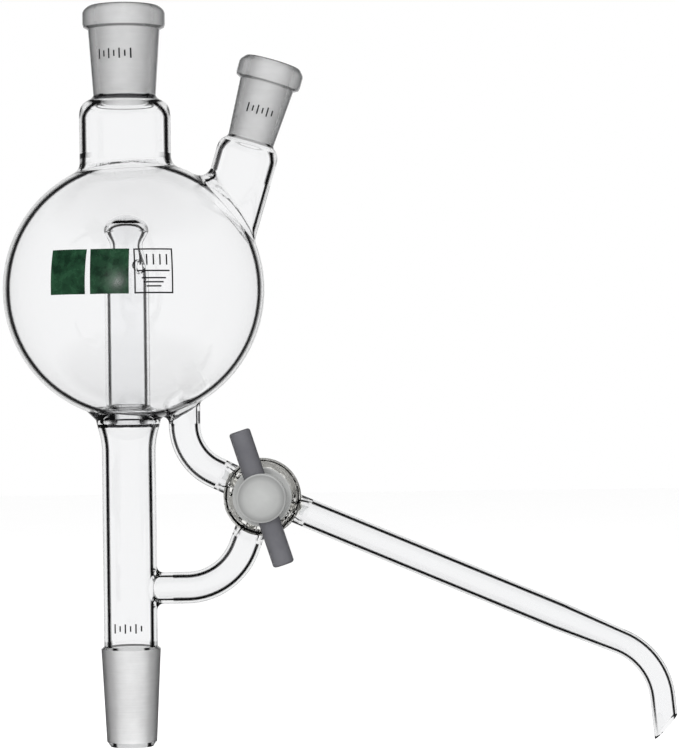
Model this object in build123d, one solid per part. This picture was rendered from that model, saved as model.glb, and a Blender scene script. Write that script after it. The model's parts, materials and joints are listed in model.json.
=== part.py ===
from build123d import *
import math
import os

# Receiving and distilling head in borosilicate glass, with a ground cone below, two ground
# sockets above, a bulb with an inner vapour tube, and a three-way stopcock with a drip tube.
# Millimetres. Origin: centre of the small end of the bottom cone. +Z runs up the stem, +X
# towards the drip tube, and -Y towards the front, where the stopcock handle is.

# ---- ground joints, taper 1:10 on the diameter ----
JOINT_TAPER = 0.05            # radius gained for each millimetre of length
CONE_TOP_R = 9.6              # big end of the ground zone of the bottom cone
CONE_GROUND_LENGTH = 30.0
CONE_TIP_BEVEL = 1.6
CONE_SHOULDER = 2.4           # clear glass between the ground zone and the stem
CONE_TIP_BORE_R = 5.8
TOP_SOCKET_MOUTH_R = 9.4      # bore at the mouth, for an 18.8 mm cone
TOP_SOCKET_LENGTH = 29.0
TOP_SOCKET_WALL = 2.1
SIDE_SOCKET_MOUTH_R = 7.25    # bore at the mouth, for a 14.5 mm cone
SIDE_SOCKET_LENGTH = 26.4
SIDE_SOCKET_WALL = 1.6
SOCKET_FLARE = 1.4            # outside taper of a socket against its bore's
RIM_THICKNESS = 1.8           # how far a socket's rim stands out from its wall
RIM_HEIGHT = 6.6

# ---- stem ----
STEM_R = 8.7
STEM_WALL = 1.65
STEM_LENGTH = 69.4
STEM_FLARE = 1.3              # gain in radius where the stem meets the ring seal
STEM_FLARE_LENGTH = 8.0

# ---- bulb ----
BULB_R = 42.3
BULB_WALL = 1.7
BULB_OFFSET_X = 2.3           # the bulb is blown a little off the stem's axis
RING_STEP = 0.5               # gain in radius from the stem's flare to the ring seal's weld
RING_HEIGHT = 5.2
RING_LIP = 1.8
COLLAR_FLARE = 3.2            # how far the bulb's collar spreads outside the ring seal
WELD_FILLET = 4.0

# ---- vapour tube ----
VAPOUR_R = 7.2
VAPOUR_WALL = 1.3
VAPOUR_HEIGHT = 61.7          # from the ring seal's lip to the top of the closed head
VAPOUR_WAIST = 1.6            # how far the tube is drawn in below its head
VAPOUR_HOLE_R = 2.2
VAPOUR_HOLES = 4
VAPOUR_HOLE_DROP = 17.0       # below the top of the head

# ---- top neck ----
NECK_R = 14.8
NECK_WALL = 1.4
NECK_STUB = 4.4               # how far the bulb's own stub rises above the weld
NECK_LENGTH = 19.0
NECK_SHOULDER = 7.0

# ---- side neck ----
SIDE_TILT = 16.6              # degrees from the vertical, towards +X
SIDE_AXIS_MISS = 23.2         # distance from the bulb's centre to the side neck's axis
SIDE_NECK_R = 10.1
SIDE_NECK_WALL = 1.4
SIDE_STUB = 9.1
SIDE_NECK_LENGTH = 12.5
SIDE_NECK_SHOULDER = 5.5

# ---- stopcock ----
BARREL_X = 43.5
BARREL_DROP = 23.4            # centre of the barrel below the foot of the bulb's drain stub
BARREL_FRONT = 16.0
BARREL_BACK = 18.0
BARREL_RIM = 0.6              # how far the barrel's rim stands out from its wall
BARREL_WALL = 2.4
PLUG_MOUTH_R = 9.4            # barrel bore at its front
PLUG_TAPER = 0.1              # radius lost for each millimetre towards the back
PLUG_CLEARANCE = 0.05
PLUG_BORE_R = 2.0
HUB_SETBACK = 1.4             # plug's big end standing out of the barrel
HUB_R = 7.75
HUB_LENGTH = 12.0
HUB_DOME = 1.9                # rise of the hub's rounded front over its edge
HANDLE_SETBACK = 6.2          # from the back of the hub to the middle of the handle
HANDLE_R = 3.45
HANDLE_LENGTH = 44.6
HANDLE_ANGLE = 107.9          # degrees from +X, seen from the front
TAIL_R = 4.5
TAIL_LENGTH = 14.0
THREAD_PITCH = 1.5
THREAD_DEPTH = 0.45
STACK_GAP = 0.1               # between the washer, the ring and the nut
WASHER_THICKNESS = 1.6
WASHER_LAP = 2.0              # how far the washer covers the barrel's end, on the radius
RING_CORD_R = 1.2
NUT_LENGTH = 6.5
NUT_FLATS = 15.0

# ---- tubes ----
DRAIN_R = 5.1
DRAIN_WALL = 1.2
DRAIN_X = 18.2
DRAIN_STUB = 4.4
DRAIN_BEND_R = 17.0
DRAIN_ANGLE = 154.0
RETURN_R = 5.1
RETURN_WALL = 1.3
RETURN_STUB_X = 14.0
RETURN_DROP = 29.8            # height of the return tube's port below the barrel's centre
RETURN_BEND_R = 20.0
RETURN_ANGLE = -111.0
DELIVERY_R = 4.75
DELIVERY_WALL = 0.95
DELIVERY_ANGLE = -23.0
DELIVERY_LENGTH = 125.3       # straight run from the barrel's centre to the bend
DELIVERY_NECKING = 22.0       # length over which the tube is drawn down before the bend
TIP_R = 4.1
TIP_WALL = 0.95
TIP_BEND_R = 22.0
TIP_ANGLE = -84.2
TIP_LENGTH = 9.6
TIP_BEVEL = 42.0
ARM_REACH = 15.5              # barrel's centre to the weld of each arm
ARM_PORT_R = 2.1

# ---- enamel marks ----
ENAMEL = 0.15                 # thickness of the fired marks
PANEL_WIDTH = 12.2
PANEL_HEIGHT = 14.1
PANEL_ELEVATION = 6.3
PANEL_AZIMUTHS = (-25.3, -6.4)
FRAME_AZIMUTH = 12.5
FRAME_LINE = 0.45
TICK = 0.45
# azimuth, rise above the wall's foot, number of strokes, their pitch and their height
TOP_MARK = (-13, 12.6, 7, 1.75, 3.2)
SIDE_MARK = (4, 9.6, 6, 1.6, 3.0)
STEM_MARK = (-2, 4.6, 6, 1.7, 3.0)

# ---- heights and places worked out from the sizes above ----
CONE_LENGTH = CONE_TIP_BEVEL + CONE_GROUND_LENGTH + CONE_SHOULDER
STEM_TOP = CONE_LENGTH + STEM_LENGTH
RING_R = STEM_R + STEM_FLARE + RING_STEP
RING_TOP = STEM_TOP + RING_HEIGHT
BULB_INNER_R = BULB_R - BULB_WALL
BULB_Z = RING_TOP + math.sqrt(BULB_INNER_R**2 - RING_R**2)
VAPOUR_BASE = RING_TOP + RING_LIP
VAPOUR_TOP = VAPOUR_BASE + VAPOUR_HEIGHT
NECK_BASE = BULB_Z + math.sqrt(BULB_R**2 - NECK_R**2) + NECK_STUB
SOCKET_BASE = NECK_BASE + NECK_LENGTH
SOCKET_TOP = SOCKET_BASE + TOP_SOCKET_LENGTH
DRAIN_TOP = BULB_Z - math.sqrt(BULB_R**2 - (DRAIN_X - BULB_OFFSET_X) ** 2) - DRAIN_STUB
BARREL_Z = DRAIN_TOP - BARREL_DROP
RETURN_Z = BARREL_Z - RETURN_DROP
STEM_BORE_R = STEM_R - STEM_WALL
VAPOUR_BORE_R = VAPOUR_R - VAPOUR_WALL
TAIL_START = BARREL_BACK - 1.0
BULB_CENTRE = Vector(BULB_OFFSET_X, 0, BULB_Z)
BARREL_CENTRE = Vector(BARREL_X, 0, BARREL_Z)


def in_plane(angle):
    """Unit vector in the XZ plane at an angle from +X towards +Z."""
    return Vector(math.cos(math.radians(angle)), 0, math.sin(math.radians(angle)))


SIDE_DIRECTION = in_plane(90 - SIDE_TILT)
SIDE_FOOT = BULB_CENTRE + in_plane(-SIDE_TILT) * SIDE_AXIS_MISS
SIDE_RISE = math.sqrt(BULB_R**2 - SIDE_AXIS_MISS**2) + SIDE_STUB
SIDE_NECK_BASE = SIDE_FOOT + SIDE_DIRECTION * SIDE_RISE
SIDE_SOCKET_BASE = SIDE_NECK_BASE + SIDE_DIRECTION * SIDE_NECK_LENGTH


def lathe(*edges):
    """Solid turned about Z from a closed outline of radius and height."""
    return revolve(Plane.XZ * make_face(Curve() + list(edges)), Axis.Z)


def turned(points):
    """Solid turned about Z from a closed polygon of (radius, height) points."""
    return lathe(Polyline(*points, close=True))


def rod(start, direction, radius, length):
    """Cylinder from a point along a direction."""
    along = Plane(origin=start, x_dir=(0, 1, 0), z_dir=direction)
    return along * Cylinder(radius, length, align=(Align.CENTER, Align.CENTER, Align.MIN))


def taper_rod(start, direction, start_r, end_r, length):
    """Round frustum from a point along a direction."""
    along = Plane(origin=start, x_dir=(0, 1, 0), z_dir=direction)
    return along * Cone(start_r, end_r, length, align=(Align.CENTER, Align.CENTER, Align.MIN))


def swept(path, radius):
    """Round bar that follows a path."""
    return sweep(Plane(origin=path @ 0, z_dir=path % 0) * Circle(radius), path=path)


def joined(base, added, radius):
    """Union of two solids with the edge between them rounded."""
    whole = base + added
    return fillet(new_edges(base, added, combined=whole), radius)


def quarters(shell, centre):
    """Solid cut into four at a centre, along X and along Y, so that no part closes round a hollow."""
    pieces = []
    for half in halves(shell, Plane(origin=centre, z_dir=(1, 0, 0))):
        pieces += halves(half, Plane(origin=centre, z_dir=(0, 1, 0)))
    return Compound(pieces)


def halves(solid, plane):
    """The two parts of a solid on either side of a plane."""
    return [split(solid, bisect_by=plane, keep=side).solid() for side in (Keep.TOP, Keep.BOTTOM)]


def facing_front(solid):
    """Turns a solid made along Z so that its axis runs front to back, with +Z at the back."""
    return Rot(X=-90) * solid


def at_barrel(solid):
    """Moves a solid made round the origin to the barrel's centre."""
    return Pos(BARREL_X, 0, BARREL_Z) * solid


def corner(start, direction, through, angle):
    """Where a line from start meets the line through a point at an angle, in the XZ plane."""
    other = in_plane(angle)
    gap = through - start
    cross = direction.X * other.Z - direction.Z * other.X
    return start + direction * ((gap.X * other.Z - gap.Z * other.X) / cross)


# ---- ground joints ----
def bottom_cone():
    ground_base_r = CONE_TOP_R - CONE_GROUND_LENGTH * JOINT_TAPER
    ground_top = CONE_TIP_BEVEL + CONE_GROUND_LENGTH
    return turned([
        (CONE_TIP_BORE_R, 0),
        (ground_base_r - 0.7 * CONE_TIP_BEVEL, 0),
        (ground_base_r, CONE_TIP_BEVEL),
        (CONE_TOP_R, ground_top),
        (STEM_R, ground_top + 0.3 * CONE_SHOULDER),
        (STEM_R, CONE_LENGTH),
        (STEM_BORE_R, CONE_LENGTH),
        (STEM_BORE_R, ground_top),
    ])


def socket_wall(mouth_r, length, wall):
    """Outside radius at a socket's foot and under its rim, and the height of that rim."""
    base_r = mouth_r - (length - 1) * JOINT_TAPER + wall
    wall_top = length - RIM_HEIGHT - 1.2
    return base_r, base_r + wall_top * JOINT_TAPER * SOCKET_FLARE, wall_top


def socket(mouth_r, length, wall):
    """Ground socket along Z with a fire-polished rim, its small end at the origin."""
    base_r, under_rim_r, wall_top = socket_wall(mouth_r, length, wall)
    base_bore = base_r - wall
    rim_r = under_rim_r + RIM_THICKNESS
    under_rim = length - RIM_HEIGHT
    walls = Polyline(
        (base_bore, 0),
        (base_r, 0),
        (under_rim_r, wall_top),
        (rim_r - 0.3, under_rim - 0.4),
        (rim_r, under_rim + 0.6),
        (rim_r, length - 2.9),
    )
    crown = Spline(
        (rim_r, length - 2.9),
        (rim_r - 1.0, length - 0.9),
        (mouth_r + 0.9, length),
        tangents=((0, 1), (-1, 0)),
    )
    bore = Polyline(
        (mouth_r + 0.9, length),
        (mouth_r + 0.3, length - 0.3),
        (mouth_r, length - 1),
        (base_bore, 0),
    )
    return lathe(walls, crown, bore)


def top_socket():
    return Pos(0, 0, SOCKET_BASE) * socket(TOP_SOCKET_MOUTH_R, TOP_SOCKET_LENGTH, TOP_SOCKET_WALL)


def side_socket():
    place = Plane(origin=SIDE_SOCKET_BASE, x_dir=(0, 1, 0), z_dir=SIDE_DIRECTION)
    return place * socket(SIDE_SOCKET_MOUTH_R, SIDE_SOCKET_LENGTH, SIDE_SOCKET_WALL)


# ---- necks ----
def neck(tube_r, wall, length, shoulder, mouth_r, socket_length, socket_wall):
    """Neck along Z that draws in through a rounded shoulder to the foot of a socket."""
    end_bore = mouth_r - (socket_length - 1) * JOINT_TAPER
    end_r = end_bore + socket_wall
    bore_r = tube_r - wall
    outside = Spline(
        (tube_r, length - shoulder),
        (tube_r - 0.4 * (tube_r - end_r), length - 0.32 * shoulder),
        (end_r, length),
        tangents=((0, 1), (-0.35, 1)),
    )
    inside = Spline(
        (end_bore, length),
        (bore_r - 0.4 * (bore_r - end_bore), length - 0.42 * shoulder),
        (bore_r, length - 1.1 * shoulder),
        tangents=((0.35, -1), (0, -1)),
    )
    foot = Polyline(
        (bore_r, length - 1.1 * shoulder),
        (bore_r, 0),
        (tube_r, 0),
        (tube_r, length - shoulder),
    )
    return lathe(outside, Line((end_r, length), (end_bore, length)), inside, foot)


def top_neck():
    solid = neck(
        NECK_R, NECK_WALL, NECK_LENGTH, NECK_SHOULDER,
        TOP_SOCKET_MOUTH_R, TOP_SOCKET_LENGTH, TOP_SOCKET_WALL,
    )
    return Pos(0, 0, NECK_BASE) * solid


def side_neck():
    solid = neck(
        SIDE_NECK_R, SIDE_NECK_WALL, SIDE_NECK_LENGTH, SIDE_NECK_SHOULDER,
        SIDE_SOCKET_MOUTH_R, SIDE_SOCKET_LENGTH, SIDE_SOCKET_WALL,
    )
    return Plane(origin=SIDE_NECK_BASE, x_dir=(0, 1, 0), z_dir=SIDE_DIRECTION) * solid


# ---- bulb and what is sealed into it ----
def bulb_form(radius, neck_r, side_r, drain_r, reach, rounding):
    """Sphere with its three stubs: once for the outside, and once for the hollow."""
    form = Pos(BULB_CENTRE) * Sphere(radius)
    top = rod(Vector(0, 0, BULB_Z), Vector(0, 0, 1), neck_r, NECK_BASE - BULB_Z + reach)
    form = joined(form, top, rounding)
    side = rod(SIDE_FOOT, SIDE_DIRECTION, side_r, SIDE_RISE + reach)
    form = joined(form, side, rounding)
    drain_start = Vector(DRAIN_X, 0, BULB_Z)
    drain = rod(drain_start, Vector(0, 0, -1), drain_r, BULB_Z - DRAIN_TOP + reach)
    return joined(form, drain, 0.5 * rounding)


def bulb():
    outside = bulb_form(BULB_R, NECK_R, SIDE_NECK_R, DRAIN_R, 0, WELD_FILLET)
    hollow = bulb_form(
        BULB_INNER_R, NECK_R - NECK_WALL, SIDE_NECK_R - SIDE_NECK_WALL,
        DRAIN_R - DRAIN_WALL, 1, WELD_FILLET,
    )
    collar_top = BULB_Z - math.sqrt(BULB_R**2 - (RING_R + COLLAR_FLARE) ** 2) + 1
    collar = turned([
        (RING_R - 1, RING_TOP - 3.0),
        (RING_R, RING_TOP - 3.0),
        (RING_R + COLLAR_FLARE, collar_top),
        (RING_R - 1, collar_top),
    ])
    seat = Pos(0, 0, STEM_TOP) * Cylinder(RING_R, 20, align=(Align.CENTER, Align.CENTER, Align.CENTER))
    return quarters(outside + collar - hollow - seat, BULB_CENTRE)


def ring_seal():
    flare_bore = STEM_BORE_R + STEM_FLARE
    outer = STEM_R + STEM_FLARE
    below = Polyline(
        (VAPOUR_BORE_R, VAPOUR_BASE),
        (VAPOUR_BORE_R, RING_TOP - 1.0),
        (flare_bore - 0.4, STEM_TOP + 1.2),
        (flare_bore, STEM_TOP),
        (outer, STEM_TOP),
        (RING_R, RING_TOP - 3.0),
        (RING_R, RING_TOP),
    )
    above = Spline(
        (RING_R, RING_TOP),
        (VAPOUR_R + 0.9, RING_TOP + 0.45 * RING_LIP),
        (VAPOUR_R, VAPOUR_BASE),
        tangents=((-1, 0), (0, 1)),
    )
    return lathe(below, above, Line((VAPOUR_R, VAPOUR_BASE), (VAPOUR_BORE_R, VAPOUR_BASE)))


def vapour_tube():
    waist_z = VAPOUR_TOP - 8.6
    brow_z = VAPOUR_TOP - 5.4
    drawn_z = waist_z - 12.0
    outside = [
        Line((VAPOUR_R, VAPOUR_BASE), (VAPOUR_R, drawn_z)),
        Spline(
            (VAPOUR_R, drawn_z),
            (VAPOUR_R - VAPOUR_WAIST, waist_z),
            (VAPOUR_R, brow_z),
            tangents=((0, 1), (0.3, 1)),
        ),
        Spline(
            (VAPOUR_R, brow_z),
            (0.6 * VAPOUR_R, VAPOUR_TOP - 1.2),
            (0, VAPOUR_TOP),
            tangents=((0, 1), (-1, 0)),
        ),
    ]
    inside = [
        Line((0, VAPOUR_TOP), (0, VAPOUR_TOP - 2.4)),
        Spline(
            (0, VAPOUR_TOP - 2.4),
            (0.62 * VAPOUR_BORE_R, VAPOUR_TOP - 3.0),
            (VAPOUR_BORE_R, brow_z),
            tangents=((1, 0), (0.2, -1)),
        ),
        Spline(
            (VAPOUR_BORE_R, brow_z),
            (VAPOUR_BORE_R - VAPOUR_WAIST, waist_z),
            (VAPOUR_BORE_R, drawn_z),
            tangents=((-0.5, -1), (0, -1)),
        ),
        Polyline((VAPOUR_BORE_R, drawn_z), (VAPOUR_BORE_R, VAPOUR_BASE), (VAPOUR_R, VAPOUR_BASE)),
    ]
    tube = lathe(*outside, *inside)
    for step in range(VAPOUR_HOLES):
        side = Vector(1, 0, 0).rotate(Axis.Z, 45 + step * 360 / VAPOUR_HOLES)
        tube -= rod(Vector(0, 0, VAPOUR_TOP - VAPOUR_HOLE_DROP), side, VAPOUR_HOLE_R, 2 * VAPOUR_R)
    return tube


# ---- stem ----
def stem_tube():
    flare_z = STEM_TOP - STEM_FLARE_LENGTH
    outside = Spline((STEM_R, flare_z), (STEM_R + STEM_FLARE, STEM_TOP), tangents=((0, 1), (0.3, 1)))
    inside = Spline(
        (STEM_BORE_R + STEM_FLARE, STEM_TOP), (STEM_BORE_R, flare_z), tangents=((-0.3, -1), (0, -1))
    )
    walls = Polyline(
        (STEM_BORE_R, flare_z), (STEM_BORE_R, CONE_LENGTH), (STEM_R, CONE_LENGTH), (STEM_R, flare_z)
    )
    top = Line((STEM_R + STEM_FLARE, STEM_TOP), (STEM_BORE_R + STEM_FLARE, STEM_TOP))
    tube = lathe(outside, top, inside, walls)
    port = Vector(0, 0, RETURN_Z)
    stub = rod(port, Vector(1, 0, 0), RETURN_R, RETURN_STUB_X)
    hollow = Pos(0, 0, CONE_LENGTH) * Cylinder(
        STEM_BORE_R, STEM_LENGTH - STEM_FLARE_LENGTH, align=(Align.CENTER, Align.CENTER, Align.MIN)
    )
    bore = rod(port, Vector(1, 0, 0), RETURN_R - RETURN_WALL, RETURN_STUB_X + 1)
    filled = joined(tube + hollow, stub, 2.0)
    return filled - joined(hollow, bore, 1.6)


# ---- bent tubes ----
def drain_path():
    start = Vector(DRAIN_X, 0, DRAIN_TOP)
    end = BARREL_CENTRE + in_plane(DRAIN_ANGLE) * ARM_REACH
    bend = corner(start, Vector(0, 0, -1), end, DRAIN_ANGLE)
    return FilletPolyline(start, bend, end, radius=DRAIN_BEND_R)


def return_path():
    start = Vector(RETURN_STUB_X, 0, RETURN_Z)
    end = BARREL_CENTRE + in_plane(RETURN_ANGLE) * ARM_REACH
    bend = corner(start, Vector(1, 0, 0), end, RETURN_ANGLE)
    return FilletPolyline(start, bend, end, radius=RETURN_BEND_R)


def bent_tube(path, radius, wall):
    return swept(path, radius) - swept(path, radius - wall)


def drain_tube():
    return bent_tube(drain_path(), DRAIN_R, DRAIN_WALL)


def return_tube():
    return bent_tube(return_path(), RETURN_R, RETURN_WALL)


def tip_path():
    """Bend and straight end of the drip tube."""
    along = in_plane(DELIVERY_ANGLE)
    bend_start = BARREL_CENTRE + along * DELIVERY_LENGTH
    turn = math.radians(DELIVERY_ANGLE - TIP_ANGLE)
    tangent = TIP_BEND_R * math.tan(turn / 2)
    bend = bend_start + along * tangent
    end = bend + in_plane(TIP_ANGLE) * (tangent + TIP_LENGTH + TIP_R)
    return FilletPolyline(bend_start - along * 0.5, bend, end, radius=TIP_BEND_R)


def delivery_form(straight_r, tip_r):
    """Outside or bore of the drip tube: straight, drawn down, then bent."""
    along = in_plane(DELIVERY_ANGLE)
    weld = BARREL_CENTRE + along * ARM_REACH
    draw_start = BARREL_CENTRE + along * (DELIVERY_LENGTH - DELIVERY_NECKING)
    straight = rod(weld, along, straight_r, DELIVERY_LENGTH - DELIVERY_NECKING - ARM_REACH)
    drawn = taper_rod(draw_start, along, straight_r, tip_r, DELIVERY_NECKING - 0.5)
    return straight + drawn + swept(tip_path(), tip_r)


def delivery_tube():
    path = tip_path()
    end_direction = in_plane(TIP_ANGLE)
    tip = path @ 1 - end_direction * TIP_R
    cut_plane = Plane(origin=tip, x_dir=(0, 1, 0), z_dir=in_plane(TIP_ANGLE + TIP_BEVEL))
    waste = cut_plane * Box(40, 40, 20, align=(Align.CENTER, Align.CENTER, Align.MIN))
    outside = delivery_form(DELIVERY_R, TIP_R)
    bore = delivery_form(DELIVERY_R - DELIVERY_WALL, TIP_R - TIP_WALL)
    return outside - bore - waste


# ---- stopcock ----
def barrel_bore_r(y):
    return PLUG_MOUTH_R - PLUG_TAPER * (y + BARREL_FRONT)


def stopcock_barrel():
    front_r = PLUG_MOUTH_R + BARREL_WALL
    rim_r = front_r + BARREL_RIM
    back_r = barrel_bore_r(BARREL_BACK) + BARREL_WALL
    body = turned([
        (0, -BARREL_FRONT),
        (rim_r - 0.6, -BARREL_FRONT),
        (rim_r, 0.6 - BARREL_FRONT),
        (rim_r, 2.6 - BARREL_FRONT),
        (front_r - 0.5, 5.0 - BARREL_FRONT),
        (back_r, BARREL_BACK - 2.0),
        (back_r + 0.4, BARREL_BACK - 0.8),
        (back_r, BARREL_BACK),
        (0, BARREL_BACK),
    ])
    bore = turned([
        (0, -BARREL_FRONT - 1),
        (barrel_bore_r(-BARREL_FRONT - 1), -BARREL_FRONT - 1),
        (barrel_bore_r(BARREL_BACK + 1), BARREL_BACK + 1),
        (0, BARREL_BACK + 1),
    ])
    arms = [
        (in_plane(DRAIN_ANGLE), DRAIN_R, DRAIN_R - DRAIN_WALL),
        (in_plane(RETURN_ANGLE), RETURN_R, RETURN_R - RETURN_WALL),
        (in_plane(DELIVERY_ANGLE), DELIVERY_R, DELIVERY_R - DELIVERY_WALL),
    ]
    barrel = facing_front(body)
    for direction, outer, _ in arms:
        barrel = joined(barrel, rod(Vector(0, 0, 0), direction, outer, ARM_REACH), 1.2)
    barrel -= facing_front(bore)
    widening_start = barrel_bore_r(0) + 1
    for direction, _, inner in arms:
        barrel -= rod(direction * 3, direction, ARM_PORT_R, ARM_REACH - 5)
        barrel -= taper_rod(
            direction * widening_start, direction, ARM_PORT_R, inner, ARM_REACH - widening_start
        )
    return at_barrel(barrel)


def thread_outline():
    """Tail of the plug from its end back to the taper, cut with thread grooves."""
    points = [(0, TAIL_START + TAIL_LENGTH), (TAIL_R - THREAD_DEPTH, TAIL_START + TAIL_LENGTH)]
    turns = int((TAIL_LENGTH - 2.0) / THREAD_PITCH)
    for turn in range(turns):
        top = TAIL_START + TAIL_LENGTH - 0.4 - turn * THREAD_PITCH
        points.append((TAIL_R, top - 0.25 * THREAD_PITCH))
        points.append((TAIL_R, top - 0.5 * THREAD_PITCH))
        points.append((TAIL_R - THREAD_DEPTH, top - 0.9 * THREAD_PITCH))
    return points + [(TAIL_R, TAIL_START + 1.2), (TAIL_R, TAIL_START)]


def key_plug():
    hub_back = -BARREL_FRONT - HUB_SETBACK
    hub_front = hub_back - HUB_LENGTH
    small_r = barrel_bore_r(TAIL_START) - PLUG_CLEARANCE
    big_r = barrel_bore_r(hub_back + 0.4) - PLUG_CLEARANCE
    outline = thread_outline() + [
        (small_r - 0.3, TAIL_START),
        (small_r, TAIL_START - 0.3),
        (big_r, hub_back + 0.4),
        (big_r - 0.4, hub_back),
        (HUB_R, hub_back),
        (HUB_R, hub_front + HUB_DOME),
    ]
    dome = Spline(
        outline[-1], (0.72 * HUB_R, hub_front + 0.28 * HUB_DOME), (0, hub_front),
        tangents=((0, -1), (-1, 0)),
    )
    closing = Line((0, hub_front), outline[0])
    plug = facing_front(lathe(Polyline(*outline), dome, closing))
    through = in_plane(HANDLE_ANGLE)
    plug -= rod(through * -20, through, PLUG_BORE_R, 40)
    plug -= rod(Vector(0, 0, 0), in_plane(HANDLE_ANGLE - 90), PLUG_BORE_R, 20)
    return at_barrel(plug - handle_bar())


def handle_bar():
    middle = Vector(0, -BARREL_FRONT - HUB_SETBACK - HANDLE_SETBACK, 0)
    through = in_plane(HANDLE_ANGLE)
    bar = rod(middle - through * (HANDLE_LENGTH / 2), through, HANDLE_R, HANDLE_LENGTH)
    return fillet(bar.edges().filter_by(GeomType.CIRCLE), 0.9)


def handle_rod():
    return at_barrel(handle_bar())


def stack_place(step):
    """Distances along the barrel's axis to the washer, the ring and the nut."""
    washer = BARREL_BACK + STACK_GAP
    ring = washer + WASHER_THICKNESS + STACK_GAP
    nut = ring + 2 * RING_CORD_R + STACK_GAP
    return (washer, ring, nut)[step]


def friction_washer():
    outer = barrel_bore_r(BARREL_BACK) + WASHER_LAP
    disc = Cylinder(outer, WASHER_THICKNESS, align=(Align.CENTER, Align.CENTER, Align.MIN))
    disc = chamfer(disc.edges(), 0.25)
    hole = Cylinder(TAIL_R + PLUG_CLEARANCE, 10)
    return at_barrel(facing_front(Pos(0, 0, stack_place(0)) * (disc - hole)))


def tension_ring():
    ring = Torus(TAIL_R + PLUG_CLEARANCE + RING_CORD_R, RING_CORD_R)
    return at_barrel(facing_front(Pos(0, 0, stack_place(1) + RING_CORD_R) * ring))


def retaining_nut():
    across_corners = NUT_FLATS / math.cos(math.radians(30))
    hexagon = extrude(RegularPolygon(across_corners / 2, 6), NUT_LENGTH)
    dome = turned([
        (0, 0),
        (NUT_FLATS / 2, 0),
        (across_corners / 2 + 0.1, 0.8),
        (across_corners / 2 + 0.1, NUT_LENGTH - 0.8),
        (NUT_FLATS / 2 - 0.2, NUT_LENGTH),
        (0, NUT_LENGTH),
    ])
    hole = Cylinder(TAIL_R + PLUG_CLEARANCE, 4 * NUT_LENGTH)
    return at_barrel(facing_front(Pos(0, 0, stack_place(2)) * ((hexagon & dome) - hole)))


# ---- enamel marks ----
def on_bulb(azimuth, elevation):
    """Plane that touches the bulb's front, with its own Z pointing outwards."""
    flat = math.cos(math.radians(elevation))
    outward = Vector(
        math.sin(math.radians(azimuth)) * flat,
        -math.cos(math.radians(azimuth)) * flat,
        math.sin(math.radians(elevation)),
    )
    level = Vector(math.cos(math.radians(azimuth)), math.sin(math.radians(azimuth)), 0)
    return Plane(origin=BULB_CENTRE + outward * BULB_R, x_dir=level, z_dir=outward)


def bulb_skin():
    return Pos(BULB_CENTRE) * (Sphere(BULB_R + ENAMEL) - Sphere(BULB_R))


def green_panel(azimuth):
    patch = on_bulb(azimuth, PANEL_ELEVATION) * Box(PANEL_WIDTH, PANEL_HEIGHT, 12)
    return patch & bulb_skin()


def capacity_frame():
    """Framed box with a divider and plain tick strokes in its two halves."""
    line = 2 * FRAME_LINE
    shape = Rectangle(PANEL_WIDTH, PANEL_HEIGHT) - Rectangle(PANEL_WIDTH - line, PANEL_HEIGHT - line)
    shape += Rectangle(PANEL_WIDTH - 2.2, FRAME_LINE)
    for step in range(5):
        place = (step - 2) * PANEL_WIDTH * 0.17
        shape += Pos(place, 0.25 * PANEL_HEIGHT) * Rectangle(TICK, 0.24 * PANEL_HEIGHT)
    for step in range(3):
        place = -(0.16 + 0.09 * step) * PANEL_HEIGHT
        shape += Pos(0, place) * Rectangle(PANEL_WIDTH * (0.62 - 0.12 * step), TICK)
    stamp = extrude(shape, 6, both=True)
    return (on_bulb(FRAME_AZIMUTH, PANEL_ELEVATION) * stamp) & bulb_skin()


def tick_row(count, pitch, height):
    """Row of plain strokes, every second one short, as one flat sketch."""
    shape = Sketch()
    for step in range(count):
        place = (step - (count - 1) / 2) * pitch
        shape += Pos(place, 0) * Rectangle(TICK, height if step % 2 == 0 else 0.6 * height)
    return shape


def joint_mark(place, count, pitch, height, base_r, slope):
    """Strokes on a tapered wall: place is the plane square to the wall's axis at mid height."""
    low_r = base_r - slope * height
    high_r = base_r + slope * height
    skin = turned([
        (low_r, -height),
        (low_r + ENAMEL, -height),
        (high_r + ENAMEL, height),
        (high_r, height),
    ])
    stamp = extrude(Plane.XZ * tick_row(count, pitch, height), 2 * base_r)
    return place * (skin & stamp)


def facing(origin, axis, azimuth):
    """Plane square to an axis whose -Y side looks to the front, turned by an azimuth."""
    level = Vector(axis.Z, 0, -axis.X).rotate(Axis((0, 0, 0), axis), azimuth)
    return Plane(origin=origin, x_dir=level, z_dir=axis)


def socket_mark(base, axis, sizes, mark):
    """Mark on a socket's outside wall."""
    azimuth, rise, count, pitch, height = mark
    base_r, under_rim_r, wall_top = socket_wall(*sizes)
    slope = (under_rim_r - base_r) / wall_top
    place = facing(base + axis * rise, axis, azimuth)
    return joint_mark(place, count, pitch, height, base_r + slope * rise, slope)


def top_joint_mark():
    sizes = (TOP_SOCKET_MOUTH_R, TOP_SOCKET_LENGTH, TOP_SOCKET_WALL)
    return socket_mark(Vector(0, 0, SOCKET_BASE), Vector(0, 0, 1), sizes, TOP_MARK)


def side_joint_mark():
    sizes = (SIDE_SOCKET_MOUTH_R, SIDE_SOCKET_LENGTH, SIDE_SOCKET_WALL)
    return socket_mark(SIDE_SOCKET_BASE, SIDE_DIRECTION, sizes, SIDE_MARK)


def stem_joint_mark():
    azimuth, rise, count, pitch, height = STEM_MARK
    place = facing(Vector(0, 0, CONE_LENGTH + rise), Vector(0, 0, 1), azimuth)
    return joint_mark(place, count, pitch, height, STEM_R, 0)


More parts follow.
